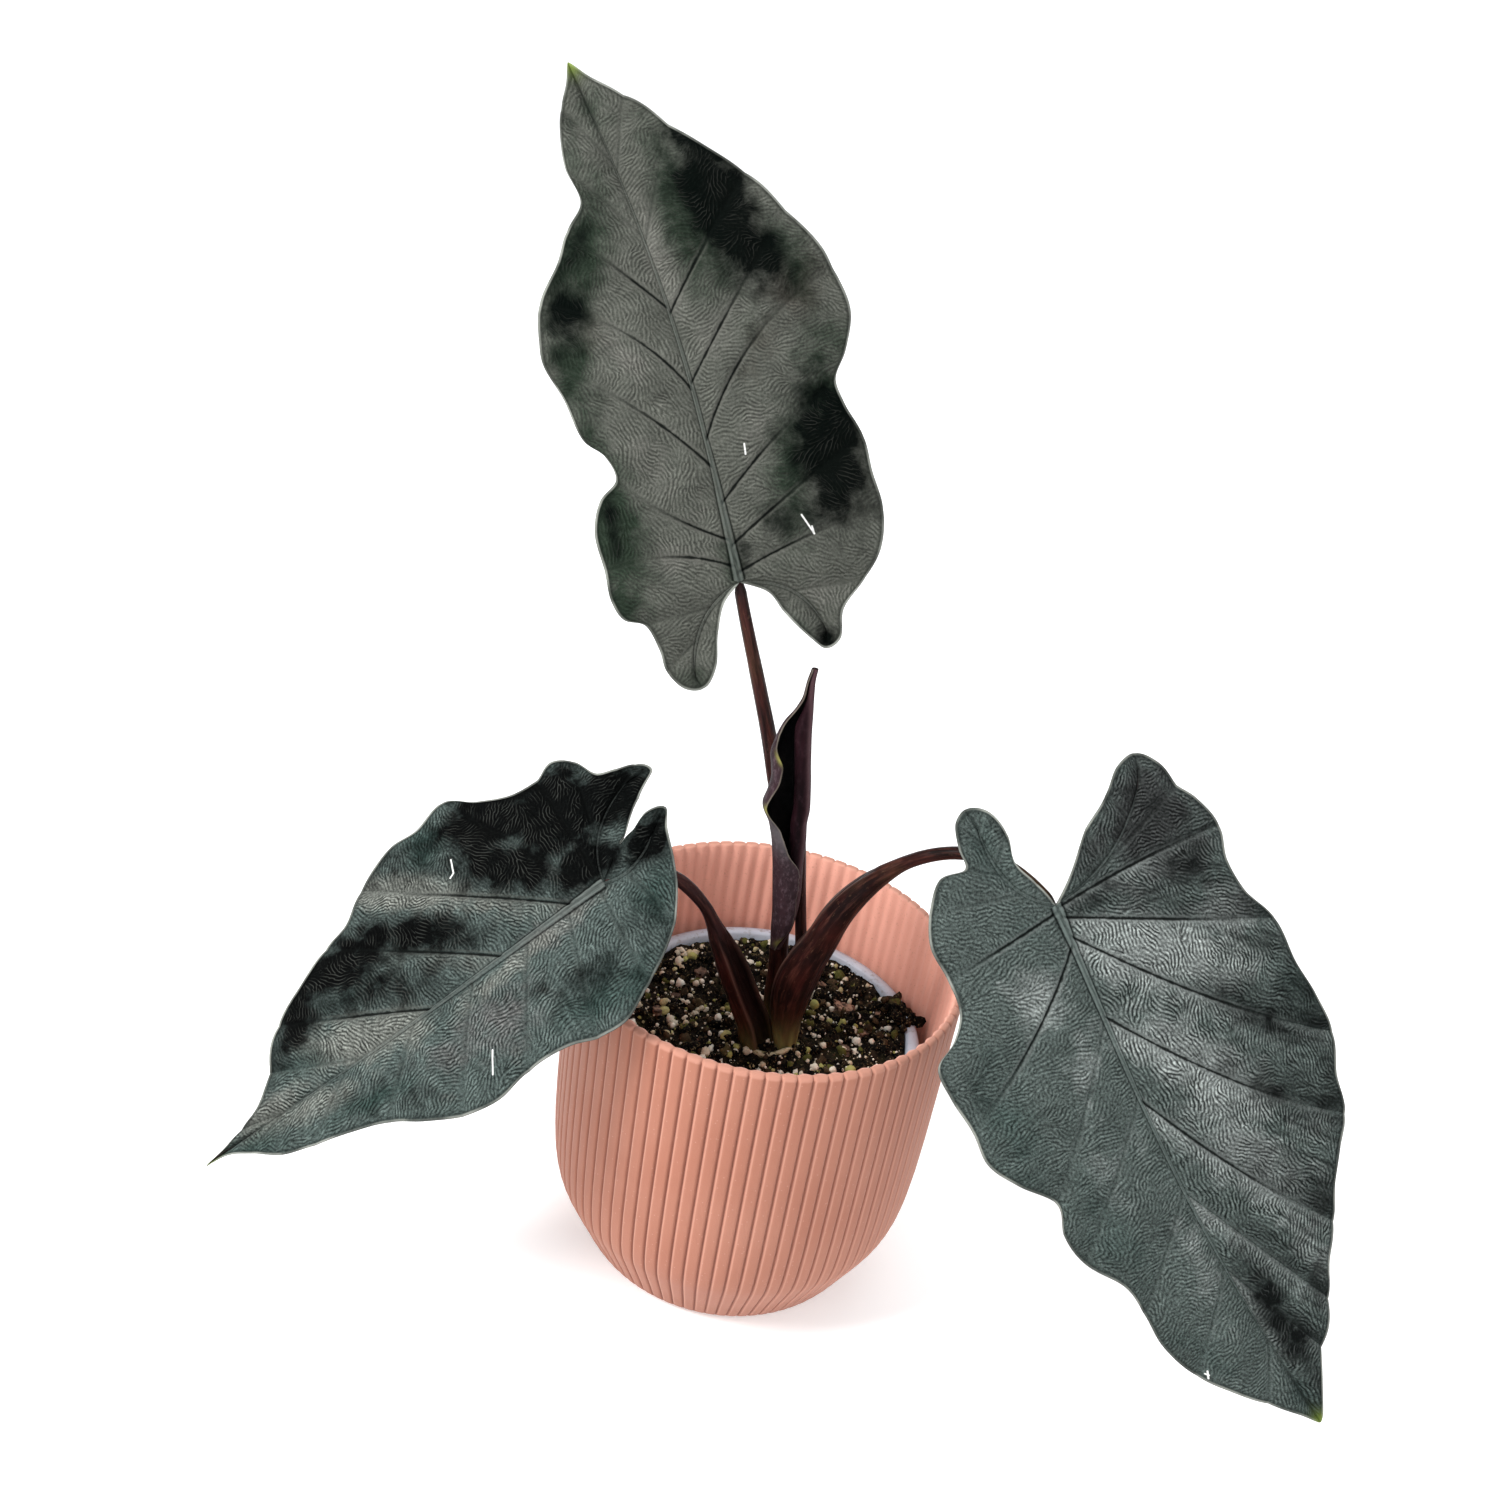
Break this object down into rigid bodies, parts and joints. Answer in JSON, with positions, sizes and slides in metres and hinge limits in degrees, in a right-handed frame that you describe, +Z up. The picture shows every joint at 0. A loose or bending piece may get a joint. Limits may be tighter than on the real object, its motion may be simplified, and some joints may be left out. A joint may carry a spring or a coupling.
{
  "type": "potted velvet-leaved alocasia",
  "caption": "Dark velvet-leaved alocasia with broad arrow-shaped leaves and a furled new leaf, in a grey nursery pot inside a reeded pink cover pot.",
  "frame": {"origin": "centre of the cover pot's flat underside", "axes": "+Z up out of the pot, -Y towards the front of the plant, +X to the viewer's right"},
  "size_m": [0.381, 0.1988, 0.3922],
  "materials": {
    "terracotta": "matte",
    "nursery_plastic": "satin",
    "potting_mix": "rough",
    "stem_base": "satin",
    "leaf_velvet": "velvet",
    "new_leaf": "satin",
    "leaf_stalk": "satin"
  },
  "bodies": {
    "root": {"cover_pot": "terracotta", "nursery_pot": "nursery_plastic", "corm": "stem_base", "soil": "potting_mix", "upright_leaf_blade": "leaf_velvet", "left_leaf_blade": "leaf_velvet", "right_leaf_blade": "leaf_velvet", "new_leaf_blade": "new_leaf", "left_leaf_stalk": "leaf_stalk", "right_leaf_stalk": "leaf_stalk", "upright_leaf_stalk": "leaf_stalk", "new_leaf_stalk": "leaf_stalk"}
  },
  "joints": []
}
